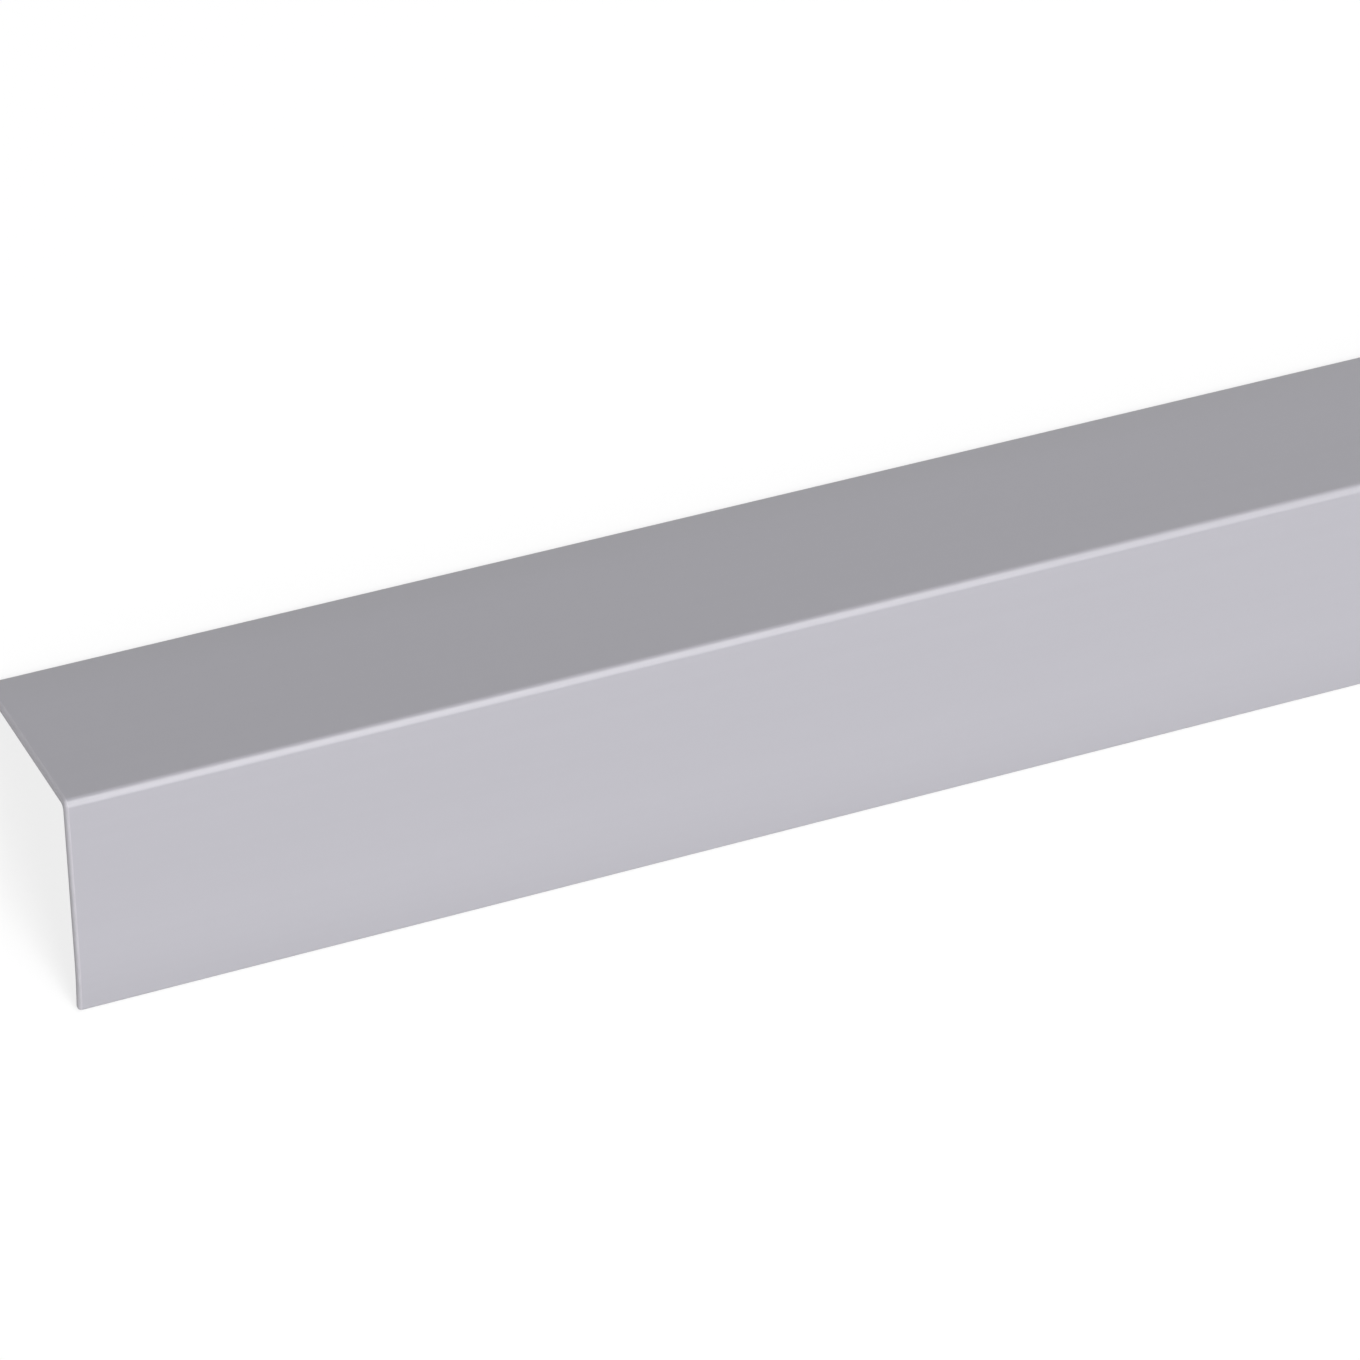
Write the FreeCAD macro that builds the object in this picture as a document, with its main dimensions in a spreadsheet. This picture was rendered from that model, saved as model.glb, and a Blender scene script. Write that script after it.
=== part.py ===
# Self-adhesive PVC angle profile, one length of stock.
#
# An extruded equal-leg angle of thin rigid PVC. The outer corner is rounded, both free rims turn in
# a little towards the wall they will cover and end in a full round, and the sawn ends are eased.
# Inside, each leg carries a strip of double-sided foam tape under a release liner.
#
# The section is drawn with the outer corner on the X axis, the top leg running back along +Y and the
# front leg hanging down along -Z. The pieces are then leaned over together about that corner, until
# both rims stand on the floor and the corner is the ridge. X runs along the length. The origin is
# under the middle of the ridge, on the floor. Sizes are in millimetres.

import FreeCAD, Part
import math
import os

import Sketcher

SIZES = [
    # The extrusion
    ("length", 1000.0, "length of the stock"),
    ("leg_width", 30.0, "width of each leg, over the outer corner"),
    ("wall", 1.2, "thickness of the legs"),
    ("outer_corner_radius", 1.0, "rounding of the ridge"),
    ("inner_corner_radius", 0.4, "fillet inside the corner"),
    ("rim_bend_width", 8.0, "width of the rim that turns in"),
    ("rim_bend_radius", 53.0, "radius of that bend, on the outer face"),
    ("cut_edge_radius", 0.45, "easing all round each sawn end"),
    # The tape and its liner
    ("tape_corner_gap", 4.0, "bare strip between the inner corner and the tape"),
    ("tape_rim_gap", 1.8, "bare strip between the tape and the bent rim"),
    ("tape_end_gap", 1.0, "how far the tape stops short of each sawn end"),
    ("tape_thickness", 0.8, "thickness of the foam tape"),
    ("liner_thickness", 0.1, "thickness of the release liner"),
]

doc = FreeCAD.newDocument("angle_profile")

sheet = doc.addObject("Spreadsheet::Sheet", "sizes")
for row, (alias, value, meaning) in enumerate(SIZES, start=1):
    sheet.set(f"A{row}", alias)
    sheet.set(f"B{row}", str(value))
    sheet.set(f"C{row}", meaning)
    sheet.setAlias(f"B{row}", alias)
doc.recompute()


def number(expression):
    """What an expression on the sheet comes to."""
    return float(sheet.evalExpression(expression))


# Measures that several features share, as expressions on the sheet. Angles are in degrees.

STRAIGHT_WIDTH = "(sizes.leg_width - sizes.rim_bend_width)"
CUT_EDGE_RADIUS = "min(sizes.cut_edge_radius; 0.4 * sizes.wall; 0.7 * sizes.outer_corner_radius)"

# Each rim ends in a full round, half a wall in radius, centred on the middle of the bent wall. The
# profile stands on these rounds, so the floor is half a wall below their centres.
RIM_REACH = "(sizes.rim_bend_radius - sizes.wall / 2)"
RIM_TURN = f"asin((sizes.rim_bend_width - sizes.wall / 2) / {RIM_REACH})"
RIM_ALONG = "(sizes.leg_width - sizes.wall / 2)"
RIM_INWARDS = f"(sizes.rim_bend_radius - {RIM_REACH} * cos({RIM_TURN}))"

# The legs are equal, so the profile stands leaned over by half a right angle.
LEAN_ANGLE = 45
RIDGE_HEIGHT = f"{RIM_ALONG} * sin({LEAN_ANGLE}) + {RIM_INWARDS} * cos({LEAN_ANGLE}) + sizes.wall / 2"


def origin_plane(body, role):
    """The body's own origin plane with this role."""
    for feature in body.Origin.OriginFeatures:
        if feature.Role == role:
            return feature
    raise ValueError(f"{body.Label} has no {role}")


def new_body(label):
    """A body that is leaned over about the corner, on to both rims."""
    body = doc.addObject("PartDesign::Body", label)
    body.Label = label
    lean = FreeCAD.Rotation(FreeCAD.Vector(1, 0, 0), -LEAN_ANGLE)
    body.Placement = FreeCAD.Placement(FreeCAD.Vector(0, 0, 0), lean)
    body.setExpression("Placement.Base.z", RIDGE_HEIGHT)
    return body


def new_section(body, name):
    """A sketch across the length: its X is the body's Y, its Y is the body's Z."""
    sketch = body.newObject("Sketcher::SketchObject", name)
    sketch.AttachmentSupport = (origin_plane(body, "YZ_Plane"), [""])
    sketch.MapMode = "FlatFace"
    return sketch


# Sketcher's numbers for the places on a line or an arc, and for the sketch's own origin.
START, END, CENTRE = 1, 2, 3
SKETCH_ORIGIN = (-1, 1)


def bind(sketch, name, kind, places, expression):
    """Add one dimension to the sketch, with a name, and tie it to the sheet."""
    index = sketch.addConstraint(Sketcher.Constraint(kind, *places, number(expression)))
    sketch.renameConstraint(index, name)
    sketch.setExpression(f"Constraints.{name}", expression)


def bind_across(sketch, name, place, expression):
    """Tie how far a place lies along the sketch's X."""
    bind(sketch, name, "DistanceX", (*SKETCH_ORIGIN, *place), expression)


def bind_down(sketch, name, place, expression):
    """Tie how far a place lies against the sketch's Y."""
    bind(sketch, name, "DistanceY", (*place, *SKETCH_ORIGIN), expression)


def join(sketch, kind, first, second):
    """Hold two places of the sketch together."""
    sketch.addConstraint(Sketcher.Constraint(kind, *first, *second))


def extrude(body, sketch, length_expression):
    """Pad the section to both sides of its plane."""
    pad = body.newObject("PartDesign::Pad", f"{body.Name}_pad")
    pad.Profile = sketch
    pad.SideType = "Symmetric"
    pad.setExpression("Length", length_expression)
    sketch.Visibility = False
    doc.recompute()
    return pad


def round_edges(body, base, name, edge_names, radius_expression):
    """Fillet the named edges of the last feature."""
    fillet = body.newObject("PartDesign::Fillet", name)
    fillet.Base = (base, edge_names)
    fillet.setExpression("Radius", radius_expression)
    doc.recompute()
    return fillet


def draw_angle(sketch):
    """The angle's section: two straight legs, each ending in a rim that bends inwards."""
    wall = number("sizes.wall")
    radius = number("sizes.rim_bend_radius")
    straight = number(STRAIGHT_WIDTH)
    rim_along = number(RIM_ALONG)
    rim_inwards = number(RIM_INWARDS)
    turn = math.radians(number(RIM_TURN))
    quarter = math.pi / 2
    half = math.pi

    def line(first, last):
        segment = Part.LineSegment(FreeCAD.Vector(*first, 0), FreeCAD.Vector(*last, 0))
        return sketch.addGeometry(segment)

    def arc(centre, arc_radius, first_angle, last_angle):
        circle = Part.Circle(FreeCAD.Vector(*centre, 0), FreeCAD.Vector(0, 0, 1), arc_radius)
        return sketch.addGeometry(Part.ArcOfCircle(circle, first_angle, last_angle))

    corner = (0, 0)
    inner_corner = (wall, -wall)

    # The top leg runs to the right, and its bend's centre is below it.
    top_centre = (straight, -radius)
    top_outer = line(corner, (straight, 0))
    top_rim = arc(top_centre, radius, quarter - turn, quarter)
    top_round = arc((rim_along, -rim_inwards), wall / 2, -quarter - turn, quarter - turn)
    top_inner_rim = arc(top_centre, radius - wall, quarter - turn, quarter)
    top_inner = line((straight, -wall), inner_corner)

    # The front leg hangs down, and its bend's centre is to the right of it.
    front_centre = (radius, -straight)
    front_inner = line(inner_corner, (wall, -straight))
    front_inner_rim = arc(front_centre, radius - wall, half, half + turn)
    front_round = arc((rim_inwards, -rim_along), wall / 2, half + turn, 2 * half + turn)
    front_rim = arc(front_centre, radius, half, half + turn)
    front_outer = line((0, -straight), corner)

    # The outline closes, and each bend and round follows on smoothly.
    join(sketch, "Tangent", (top_outer, END), (top_rim, END))
    join(sketch, "Tangent", (top_rim, START), (top_round, END))
    join(sketch, "Tangent", (top_round, START), (top_inner_rim, START))
    join(sketch, "Tangent", (top_inner_rim, END), (top_inner, START))
    join(sketch, "Coincident", (top_inner, END), (front_inner, START))
    join(sketch, "Tangent", (front_inner, END), (front_inner_rim, START))
    join(sketch, "Tangent", (front_inner_rim, END), (front_round, END))
    join(sketch, "Tangent", (front_round, START), (front_rim, END))
    join(sketch, "Tangent", (front_rim, START), (front_outer, START))
    join(sketch, "Coincident", (front_outer, END), (top_outer, START))
    join(sketch, "Coincident", (top_outer, START), SKETCH_ORIGIN)

    # The legs are square to each other, and each rim's two arcs share a centre.
    for level in (top_outer, top_inner):
        sketch.addConstraint(Sketcher.Constraint("Horizontal", level))
    for upright in (front_outer, front_inner):
        sketch.addConstraint(Sketcher.Constraint("Vertical", upright))
    join(sketch, "Coincident", (top_rim, CENTRE), (top_inner_rim, CENTRE))
    join(sketch, "Coincident", (front_rim, CENTRE), (front_inner_rim, CENTRE))

    bind_across(sketch, "front_wall", (top_inner, END), "sizes.wall")
    bind_across(sketch, "top_straight", (top_outer, END), STRAIGHT_WIDTH)
    bind_across(sketch, "top_leg", (top_round, CENTRE), RIM_ALONG)
    bind_down(sketch, "top_wall", (top_inner, END), "sizes.wall")
    bind_down(sketch, "front_straight", (front_outer, START), STRAIGHT_WIDTH)
    bind_down(sketch, "front_leg", (front_round, CENTRE), RIM_ALONG)
    bind(sketch, "top_bend", "Radius", (top_rim,), "sizes.rim_bend_radius")
    bind(sketch, "front_bend", "Radius", (front_rim,), "sizes.rim_bend_radius")


def corner_edge(shape, across, up):
    """Name of the edge that runs along the length through this (Y, Z) point of the section."""
    tolerance = 0.01
    for place, edge in enumerate(shape.Edges, start=1):
        distances = [math.hypot(end.Y - across, end.Z - up) for end in edge.Vertexes]
        if max(distances) < tolerance:
            return f"Edge{place}"
    raise ValueError(f"no edge runs along the length at {across}, {up}")


def end_edges(shape):
    """Names of the edges round the two sawn ends."""
    tolerance = 0.01
    half_length = number("sizes.length") / 2
    names = []
    for place, edge in enumerate(shape.Edges, start=1):
        middle = edge.valueAt((edge.FirstParameter + edge.LastParameter) / 2)
        if half_length - abs(middle.x) < tolerance:
            names.append(f"Edge{place}")
    return names


# The angle itself

profile = new_body("angle_profile")
profile_section = new_section(profile, "angle_section")
draw_angle(profile_section)
profile_pad = extrude(profile, profile_section, "sizes.length")

wall_thickness = number("sizes.wall")
inner_edge = corner_edge(profile_pad.Shape, wall_thickness, -wall_thickness)
inner_corner = round_edges(profile, profile_pad, "inner_corner", [inner_edge], "sizes.inner_corner_radius")
outer_edge = corner_edge(inner_corner.Shape, 0, 0)
outer_corner = round_edges(profile, inner_corner, "outer_corner", [outer_edge], "sizes.outer_corner_radius")
round_edges(profile, outer_corner, "sawn_ends", end_edges(outer_corner.Shape), CUT_EDGE_RADIUS)


# The strips inside each leg. The tape lies on the leg's flat inner face, clear of the corner and of
# the bent rim, and the liner lies on the tape. Depths are measured from the leg's outer face.

STRIP_START = "(sizes.wall + sizes.tape_corner_gap)"
STRIP_END = f"({STRAIGHT_WIDTH} - sizes.tape_rim_gap)"
STRIP_LENGTH = "sizes.length - 2 * sizes.tape_end_gap"
TAPE_NEAR = "sizes.wall"
TAPE_FAR = "(sizes.wall + sizes.tape_thickness)"
LINER_FAR = "(sizes.wall + sizes.tape_thickness + sizes.liner_thickness)"


def draw_strip(sketch, left, right, top, bottom):
    """A rectangle, each side at the distance from the sketch's origin that its expression gives."""
    corners = [(left, bottom), (right, bottom), (right, top), (left, top)]
    points = [FreeCAD.Vector(number(across), -number(down), 0) for across, down in corners]
    sides = []
    for first, last in zip(points, points[1:] + points[:1]):
        sides.append(sketch.addGeometry(Part.LineSegment(first, last)))
    for first, last in zip(sides, sides[1:] + sides[:1]):
        join(sketch, "Coincident", (first, END), (last, START))
    lower_side, right_side, upper_side, left_side = sides
    for level in (lower_side, upper_side):
        sketch.addConstraint(Sketcher.Constraint("Horizontal", level))
    for upright in (left_side, right_side):
        sketch.addConstraint(Sketcher.Constraint("Vertical", upright))
    bind_across(sketch, "left", (lower_side, START), left)
    bind_across(sketch, "right", (upper_side, START), right)
    bind_down(sketch, "top", (upper_side, START), top)
    bind_down(sketch, "bottom", (lower_side, START), bottom)


def make_strip(label, leg_name, near_face, far_face):
    """A flat strip inside one leg, between two depths."""
    strip = new_body(label)
    section = new_section(strip, f"{label}_section")
    if leg_name == "back":
        draw_strip(section, left=STRIP_START, right=STRIP_END, top=near_face, bottom=far_face)
    else:
        draw_strip(section, left=near_face, right=far_face, top=STRIP_START, bottom=STRIP_END)
    extrude(strip, section, STRIP_LENGTH)
    return strip


parts = [profile]
for leg_name in ("back", "front"):
    parts.append(make_strip(f"adhesive_tape_{leg_name}", leg_name, TAPE_NEAR, TAPE_FAR))
    parts.append(make_strip(f"release_liner_{leg_name}", leg_name, TAPE_FAR, LINER_FAR))

doc.recompute()

# Check every object, then write each piece to its own file.

for item in doc.Objects:
    if "Invalid" in item.State or "Error" in item.State:
        raise RuntimeError(f"{item.Label} failed: {item.State}")
for part in parts:
    if part.Shape.isNull() or not part.Shape.isValid() or len(part.Shape.Solids) != 1:
        raise RuntimeError(f"{part.Label} has no single valid solid")

os.makedirs("parts", exist_ok=True)
for part in parts:
    part.Shape.exportStep(os.path.join("parts", f"{part.Label}.step"))
    box = part.Shape.BoundBox
    print(f"{part.Label}: volume {part.Shape.Volume:.1f} mm3")
    print(f"  y {box.YMin:.3f} to {box.YMax:.3f}, z {box.ZMin:.3f} to {box.ZMax:.3f}")
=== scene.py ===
from math import asin, cos, pi, radians, sin

import bmesh
import bpy
from mathutils import Matrix, Vector


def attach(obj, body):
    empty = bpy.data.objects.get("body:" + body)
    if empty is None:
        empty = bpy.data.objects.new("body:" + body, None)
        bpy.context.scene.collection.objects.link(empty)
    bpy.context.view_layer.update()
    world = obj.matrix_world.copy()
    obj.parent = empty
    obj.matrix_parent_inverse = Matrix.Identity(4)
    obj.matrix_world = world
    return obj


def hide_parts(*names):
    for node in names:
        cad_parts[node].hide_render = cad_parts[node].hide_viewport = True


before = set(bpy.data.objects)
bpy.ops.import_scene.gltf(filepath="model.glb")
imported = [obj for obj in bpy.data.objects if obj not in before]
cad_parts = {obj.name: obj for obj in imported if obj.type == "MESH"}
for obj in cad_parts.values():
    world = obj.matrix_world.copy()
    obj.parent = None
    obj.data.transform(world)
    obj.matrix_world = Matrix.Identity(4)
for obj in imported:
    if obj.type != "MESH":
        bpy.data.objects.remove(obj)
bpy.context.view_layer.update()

# Angle profile
# One extruded length of rigid PVC in satin silver grey, two equal legs at a right angle.
# The die rounds the ridge and turns the last 8 mm of each leg in, and a fine saw cuts both ends.

half_length = 0.5
leg_width = 0.030
wall = 0.0012
ridge_radius = 0.001
inner_radius = 0.0004
rim_bend_width = 0.008
rim_bend_radius = 0.053
sawn_edge_radius = 0.00045

rim_round = wall / 2
bend_start = leg_width - rim_bend_width
rim_reach = rim_bend_radius - rim_round
rim_turn = asin((rim_bend_width - rim_round) / rim_reach)
bend_centre = Vector((0, bend_start, -rim_bend_radius))
rim_centre = bend_centre + Vector((0, rim_reach * sin(rim_turn), rim_reach * cos(rim_turn)))

# It is drawn with one leg level, then leans until it stands on both rims, as it comes to rest.
lean = Matrix.Rotation(radians(-45), 4, "X")
ridge_height = rim_round - (lean @ rim_centre).z
stand = Matrix.Translation((0, 0, ridge_height)) @ lean

profile_bm = bmesh.new()
corner = bmesh.ops.create_vert(profile_bm, co=(-half_length, 0, 0))["vert"][0]


def draw_on(bm, tip, end):
    drawn = bmesh.ops.extrude_vert_indiv(bm, verts=[tip])["verts"][0]
    drawn.co.yz = end
    return drawn


def turn_on(bm, tip, centre, angle, steps):
    at = Vector((tip.co.x, centre.y, centre.z))
    spun = bmesh.ops.spin(bm, geom=[tip], cent=at, axis=(1, 0, 0), angle=angle, steps=steps)
    return next(part for part in spun["geom_last"] if isinstance(part, bmesh.types.BMVert))


tip = draw_on(profile_bm, corner, (bend_start, 0))
tip = turn_on(profile_bm, tip, bend_centre, -rim_turn, 12)
tip = turn_on(profile_bm, tip, rim_centre, -pi, 16)
tip = turn_on(profile_bm, tip, bend_centre, rim_turn, 12)
draw_on(profile_bm, tip, (wall, -wall))

bmesh.ops.transform(profile_bm, matrix=stand, verts=profile_bm.verts)
bmesh.ops.mirror(
    profile_bm,
    geom=profile_bm.verts[:] + profile_bm.edges[:],
    axis="Y",
    merge_dist=1e-7,
)
bmesh.ops.contextual_create(profile_bm, geom=profile_bm.edges[:])
drawn_out = bmesh.ops.extrude_face_region(profile_bm, geom=profile_bm.faces[:])
drawn_out = [part for part in drawn_out["geom"] if isinstance(part, bmesh.types.BMVert)]
bmesh.ops.translate(profile_bm, vec=(2 * half_length, 0, 0), verts=drawn_out)


def along_edges(bm, low, high):
    found = []
    for edge in bm.edges:
        start, stop = (vert.co for vert in edge.verts)
        on_middle = abs(start.y) < 1e-6 and abs(stop.y) < 1e-6
        if on_middle and abs(start.x - stop.x) > half_length and low < start.z < high:
            found.append(edge)
    return found


def round_edges(bm, edges, radius, segments):
    bmesh.ops.bevel(
        bm,
        geom=edges,
        offset=radius,
        offset_type="OFFSET",
        segments=segments,
        profile=0.5,
        affect="EDGES",
        material=-1,
        clamp_overlap=False,
    )


ridge_edges = along_edges(profile_bm, ridge_height - wall, ridge_height + wall)
round_edges(profile_bm, ridge_edges, ridge_radius, 10)
inner_edges = along_edges(profile_bm, 0, ridge_height - wall)
round_edges(profile_bm, inner_edges, inner_radius, 6)
sawn_faces = [face for face in profile_bm.faces if abs(face.normal.x) > 0.9]
sawn_edges = list({edge for face in sawn_faces for edge in face.edges})
round_edges(profile_bm, sawn_edges, sawn_edge_radius, 5)
bmesh.ops.recalc_face_normals(profile_bm, faces=profile_bm.faces)
for face in profile_bm.faces:
    beyond_sawn_edge = abs(face.calc_center_median().x) - half_length + sawn_edge_radius
    if abs(face.normal.x) > 0.99:
        # Sawn end faces get the slightly darker sawn grey, partly painted shade.
        face.material_index = 1
    elif beyond_sawn_edge > 0:
        # The rounded rim of each sawn end gets the lighter edge grey, a painted highlight.
        face.material_index = 2


def finish_piece(name, bm, materials, nodes):
    for face in bm.faces:
        face.smooth = True
    mesh = bpy.data.meshes.new(name)
    bm.to_mesh(mesh)
    bm.free()
    for material in materials:
        mesh.materials.append(material)
    piece = bpy.data.objects.new(name, mesh)
    bpy.context.scene.collection.objects.link(piece)
    flat_faces = piece.modifiers.new("flat faces", "WEIGHTED_NORMAL")
    flat_faces.weight = 50
    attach(piece, "root")
    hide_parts(*nodes)
    return piece


class Signal:
    """One output in a material's nodes. Sums on signals add the Math nodes that work them out."""

    def __init__(self, tree, socket=None):
        self.tree = tree
        self.socket = socket

    def node(self, kind, settings, sockets, output=0):
        made = self.tree.nodes.new(kind)
        for name, value in settings.items():
            setattr(made, name, value)
        for name, value in sockets.items():
            if isinstance(value, Signal):
                self.tree.links.new(value.socket, made.inputs[name])
            else:
                made.inputs[name].default_value = value
        return Signal(self.tree, made.outputs[output])

    def maths(self, operation, first, second):
        return self.node("ShaderNodeMath", {"operation": operation}, {0: first, 1: second})

    def __add__(self, other):
        return self.maths("ADD", self, other)

    def __radd__(self, other):
        return self.maths("ADD", other, self)

    def __sub__(self, other):
        return self.maths("SUBTRACT", self, other)

    def __rsub__(self, other):
        return self.maths("SUBTRACT", other, self)

    def __mul__(self, other):
        return self.maths("MULTIPLY", self, other)

    def __rmul__(self, other):
        return self.maths("MULTIPLY", other, self)


def new_finish(name):
    material = bpy.data.materials.new(name)
    material.use_nodes = True
    tree = material.node_tree
    surface = tree.nodes["Principled BSDF"]
    place = Signal(tree).node("ShaderNodeTexCoord", {}, {}, "Object")
    return material, surface, place


def noise(place, scale, size, detail=2.0):
    stretched = place.node("ShaderNodeMapping", {}, {"Vector": place, "Scale": scale})
    sockets = {"Vector": stretched, "Scale": size, "Detail": detail}
    return place.node("ShaderNodeTexNoise", {}, sockets, "Fac")


def blend(first, second, factor):
    sockets = {0: factor, 6: first, 7: second}
    return factor.node("ShaderNodeMix", {"data_type": "RGBA"}, sockets, "Result")


def connect(signal, surface, name):
    signal.tree.links.new(signal.socket, surface.inputs[name])


pvc, surface, place = new_finish("satin silver PVC")
clouding = noise(place, (9, 60, 60), 1.0)
draw_lines = noise(place, (1.5, 900, 900), 1.0, 3.0)
grain = noise(place, (1, 1, 1), 3200.0)
tone = clouding * 0.55 + draw_lines * 0.45
lighter = (0.478, 0.470, 0.514, 1)
darker = (0.450, 0.442, 0.484, 1)
connect(blend(darker, lighter, tone), surface, "Base Color")
connect(draw_lines * 0.05 + grain * 0.04 + 0.29, surface, "Roughness")
relief = draw_lines * 0.7 + grain * 0.3
bump = relief.node("ShaderNodeBump", {}, {"Strength": 0.25, "Distance": 0.00001, "Height": relief})
connect(bump, surface, "Normal")
surface.inputs["IOR"].default_value = 1.53

# The sawn ends show saw lines and crumbs, and their grey is set a little darker than the faces as painted
# shade.
sawn_pvc_painted_shade, surface, place = new_finish("sawn PVC, painted shade")
saw_lines = noise(place, (1, 350, 4200), 1.0, 3.0)
crumbs = noise(place, (1, 1, 1), 5200.0, 3.0)
cut = saw_lines * 0.6 + crumbs * 0.4
connect(blend((0.40, 0.387, 0.42, 1), (0.50, 0.486, 0.52, 1), cut), surface, "Base Color")
connect(cut * 0.2 + 0.5, surface, "Roughness")
bump = cut.node("ShaderNodeBump", {}, {"Strength": 0.5, "Distance": 0.00004, "Height": cut})
connect(bump, surface, "Normal")

# The rounded rim of each sawn end is a lighter grey than the faces, a painted highlight, with fine
# streaks across it.
highlit_edge_pvc, surface, place = new_finish("eased PVC edge, painted highlight")
edge_streaks = noise(place, (2600, 700, 700), 1.0, 3.0)
connect(blend((0.50, 0.486, 0.526, 1), (0.60, 0.585, 0.63, 1), edge_streaks), surface, "Base Color")
connect(edge_streaks * 0.15 + 0.35, surface, "Roughness")
bump = edge_streaks.node("ShaderNodeBump", {}, {"Strength": 0.3, "Distance": 0.00002, "Height": edge_streaks})
connect(bump, surface, "Normal")

finish_piece("satin_angle", profile_bm, [pvc, sawn_pvc_painted_shade, highlit_edge_pvc], ["angle_profile"])

# Double-sided foam tapes
# A strip of closed-cell foam tape in each leg, pressed on along the flat between bend and corner.
# It is slit from a wide roll, so its long sides are open foam, and both ends are snipped square.

tape_width = 0.015
tape_start = wall + 0.004
tape_thickness = 0.0008
strip_half_length = half_length - 0.001
foam_edge_radius = 0.00012


def inside_strip(level, thickness, edge_radius, segments):
    bm = bmesh.new()
    bmesh.ops.create_cube(bm, size=1)
    bmesh.ops.scale(bm, vec=(2 * strip_half_length, tape_width, thickness), verts=bm.verts)
    middle = (0, tape_start + tape_width / 2, level - thickness / 2)
    bmesh.ops.translate(bm, vec=middle, verts=bm.verts)
    round_edges(bm, bm.edges[:], edge_radius, segments)
    bmesh.ops.transform(bm, matrix=stand, verts=bm.verts)
    return bm


def other_leg(bm):
    bmesh.ops.scale(bm, vec=(1, -1, 1), verts=bm.verts)
    bmesh.ops.recalc_face_normals(bm, faces=bm.faces)
    return bm


foam, surface, place = new_finish("white foam tape")
cells = place.node("ShaderNodeTexVoronoi", {}, {"Vector": place, "Scale": 2600.0}, "Distance")
patches = noise(place, (120, 120, 120), 1.0, 3.0)
tone = cells * 0.6 + patches * 0.5
connect(blend((0.64, 0.63, 0.60, 1), (0.76, 0.75, 0.72, 1), tone), surface, "Base Color")
connect(patches * 0.1 + 0.78, surface, "Roughness")
bump = cells.node("ShaderNodeBump", {}, {"Strength": 0.6, "Distance": 0.00012, "Height": cells})
connect(bump, surface, "Normal")

back_foam = inside_strip(-wall, tape_thickness, foam_edge_radius, 3)
finish_piece("foam_strip_back", back_foam, [foam], ["adhesive_tape_back"])
front_foam = other_leg(inside_strip(-wall, tape_thickness, foam_edge_radius, 3))
finish_piece("foam_strip_front", front_foam, [foam], ["adhesive_tape_front"])

# Release liners
# A siliconised glassine strip covers the sticky face of each tape and is peeled off before use.
# It is slit together with the foam, so both have the same width and the same square ends.

liner_thickness = 0.0001
liner_edge_radius = 0.00003
liner_level = -wall - tape_thickness

liner, surface, place = new_finish("glassine liner")
fibres = noise(place, (260, 1500, 1500), 1.0, 4.0)
cockle = noise(place, (55, 170, 170), 1.0)
tone = fibres * 0.7 + cockle * 0.3
connect(blend((0.57, 0.61, 0.55, 1), (0.66, 0.70, 0.64, 1), tone), surface, "Base Color")
connect(fibres * 0.12 + 0.32, surface, "Roughness")
relief = fibres * 0.08 + cockle
bump = relief.node("ShaderNodeBump", {}, {"Strength": 0.4, "Distance": 0.00025, "Height": relief})
connect(bump, surface, "Normal")

back_liner = inside_strip(liner_level, liner_thickness, liner_edge_radius, 2)
finish_piece("liner_strip_back", back_liner, [liner], ["release_liner_back"])
front_liner = other_leg(inside_strip(liner_level, liner_thickness, liner_edge_radius, 2))
finish_piece("liner_strip_front", front_liner, [liner], ["release_liner_front"])

# Floor
# A plain pale studio table under the angle, which stands on its two rims.
# The camera sees it white, and it still holds the angle's soft shadow.

floor_reach = 12
white_share = 0.8

floor_bm = bmesh.new()
bmesh.ops.create_grid(floor_bm, x_segments=1, y_segments=1, size=floor_reach)
floor_mesh = bpy.data.meshes.new("floor")
floor_bm.to_mesh(floor_mesh)
floor_bm.free()
floor = bpy.data.objects.new("floor", floor_mesh)
bpy.context.scene.collection.objects.link(floor)


# Camera, glossy and transmission rays see a white backdrop. The rest meet a grey floor and a dark room.
def background_rays(tree):
    rays = Signal(tree).node("ShaderNodeLightPath", {}, {}, "Is Camera Ray")
    glossy = Signal(tree, rays.socket.node.outputs["Is Glossy Ray"])
    through = Signal(tree, rays.socket.node.outputs["Is Transmission Ray"])
    return rays.maths("MAXIMUM", rays.maths("MAXIMUM", rays, glossy), through)


floor_paint, surface, place = new_finish("pale floor")
surface.inputs["Roughness"].default_value = 0.9
surface.inputs["Specular IOR Level"].default_value = 0.0
tree = floor_paint.node_tree
shown = background_rays(tree)
connect(blend((0.5, 0.5, 0.5, 1), (0.96, 0.96, 0.96, 1), shown), surface, "Base Color")
white = Signal(tree).node("ShaderNodeEmission", {}, {"Color": (1, 1, 1, 1), "Strength": 1.0})
lit = Signal(tree, surface.outputs[0])
seen = white.node("ShaderNodeMixShader", {}, {0: shown * white_share, 1: lit, 2: white})
tree.links.new(seen.socket, tree.nodes["Material Output"].inputs["Surface"])
floor_mesh.materials.append(floor_paint)

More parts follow.
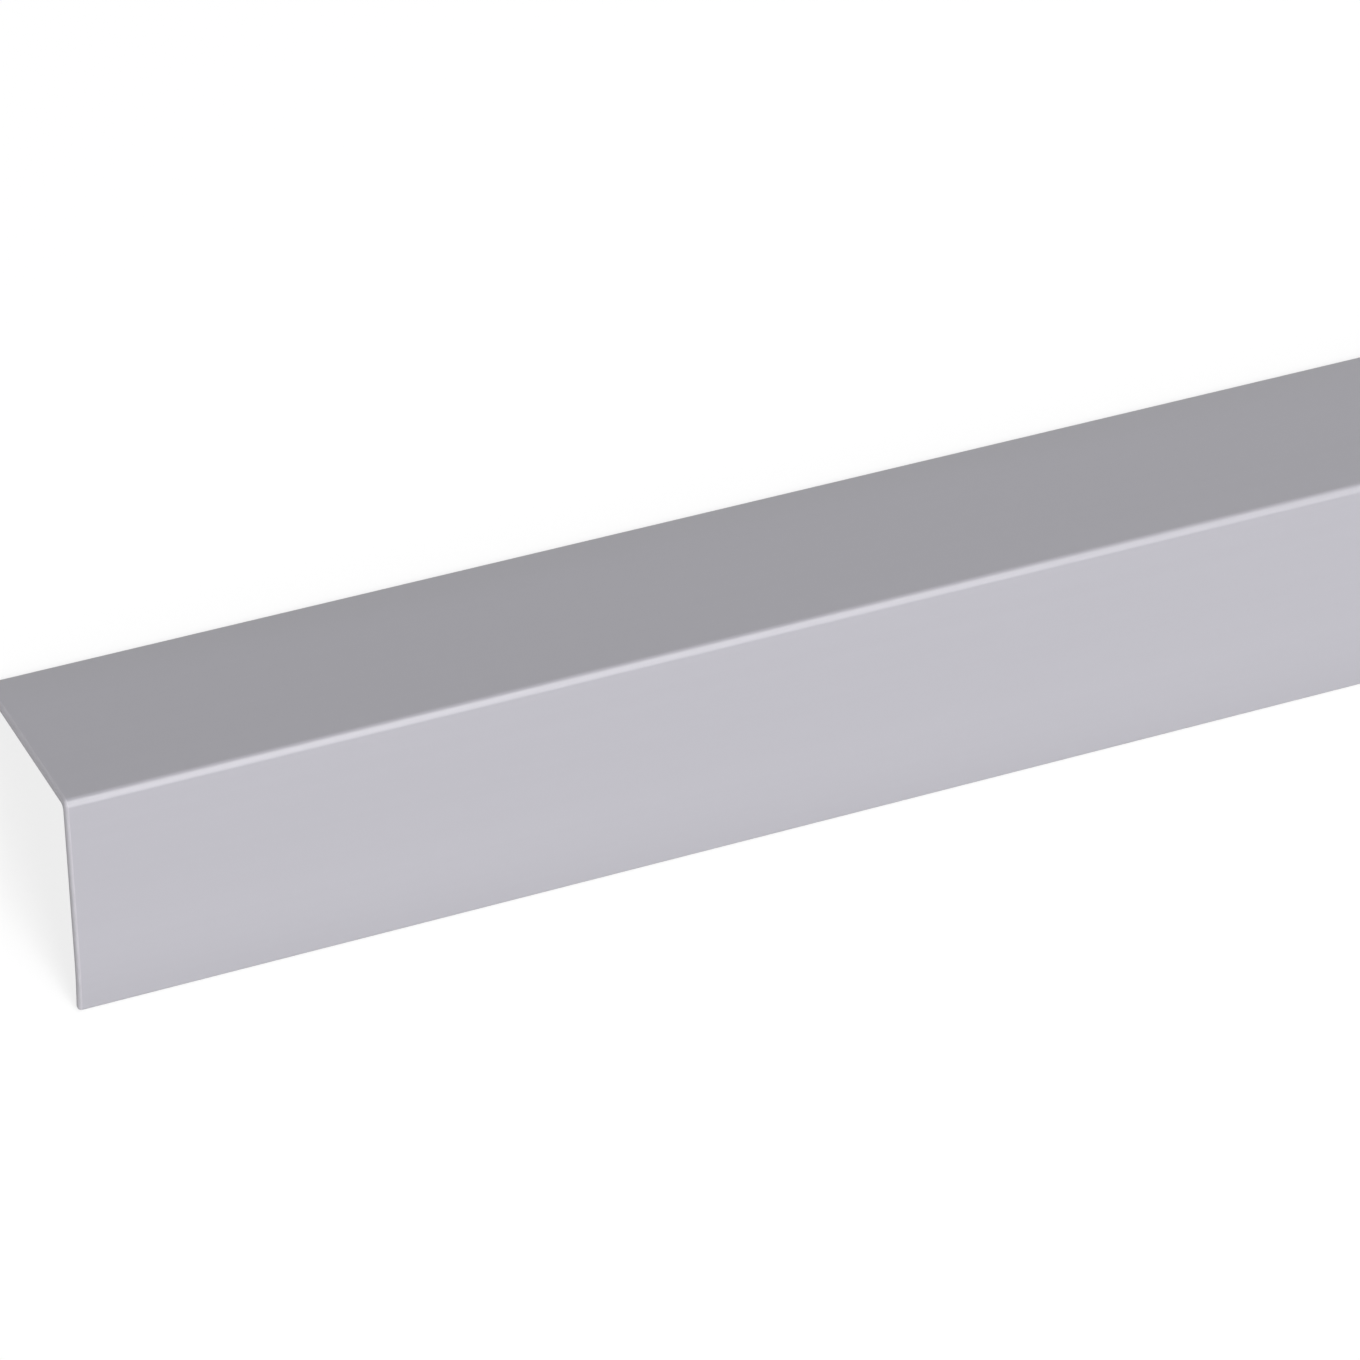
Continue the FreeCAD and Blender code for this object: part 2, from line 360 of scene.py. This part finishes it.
# Studio light
# Three softboxes in a row above the ridge draw the bright line along it.
# A wide one in front lights the front leg, and two on the left light the sawn end.
# The room behind them is dark, and only its backdrop shows white.

world = bpy.data.worlds.new("white backdrop")
bpy.context.scene.world = world
world.use_nodes = True
tree = world.node_tree
room = tree.nodes["Background"]
backdrop = background_rays(tree)
connect(blend((0, 0, 0, 1), (1, 1, 1, 1), backdrop), room, "Color")

# Every softbox faces the part of the angle that the photograph shows.
lit_end = Vector((0.1 - half_length, 0, ridge_height / 2))


def softbox(name, place, size, power):
    lamp = bpy.data.lights.new(name, "AREA")
    lamp.size = size
    lamp.energy = power
    box = bpy.data.objects.new(name, lamp)
    box.location = place
    box.rotation_euler = (lit_end - Vector(place)).to_track_quat("-Z", "Y").to_euler()
    box.visible_camera = False
    bpy.context.scene.collection.objects.link(box)


softbox("overhead softbox", (0.33, 0.45, 2.68), 0.9, 20)
softbox("upper back softbox", (0.44, 0.84, 2.54), 1.2, 12)
softbox("upper front softbox", (0.02, -0.67, 2.70), 1.2, 15)
softbox("wide front softbox", (0.16, -1.69, 2.17), 1.8, 42)
softbox("left front softbox", (-2.08, -1.40, 1.75), 1.2, 18)
softbox("left softbox", (-3.07, 0.14, 0.85), 1.2, 9)

# Camera
# A long lens near the left sawn end looks along the angle from above, as the photograph does.
# It is placed from the angle drawn with its back leg level, and leans with it.

photograph_width = 1360
focal_length_in_pixels = 6849

camera_data = bpy.data.cameras.new("camera")
camera_data.sensor_width = 36
camera_data.lens = focal_length_in_pixels / photograph_width * camera_data.sensor_width
camera_data.clip_start = 0.05
camera_data.clip_end = 60
camera = bpy.data.objects.new("camera", camera_data)
bpy.context.scene.collection.objects.link(camera)
heading = Matrix.Rotation(radians(-23.150), 4, "Z")
dip = Matrix.Rotation(radians(90 - 32.108), 4, "X")
roll = Matrix.Rotation(radians(-1.007), 4, "Z")
stood_at = Matrix.Translation((-half_length - 0.1962, -0.6412, 0.43373))
camera.matrix_world = stand @ stood_at @ heading @ dip @ roll
bpy.context.scene.camera = camera
bpy.context.scene.view_settings.view_transform = "Standard"
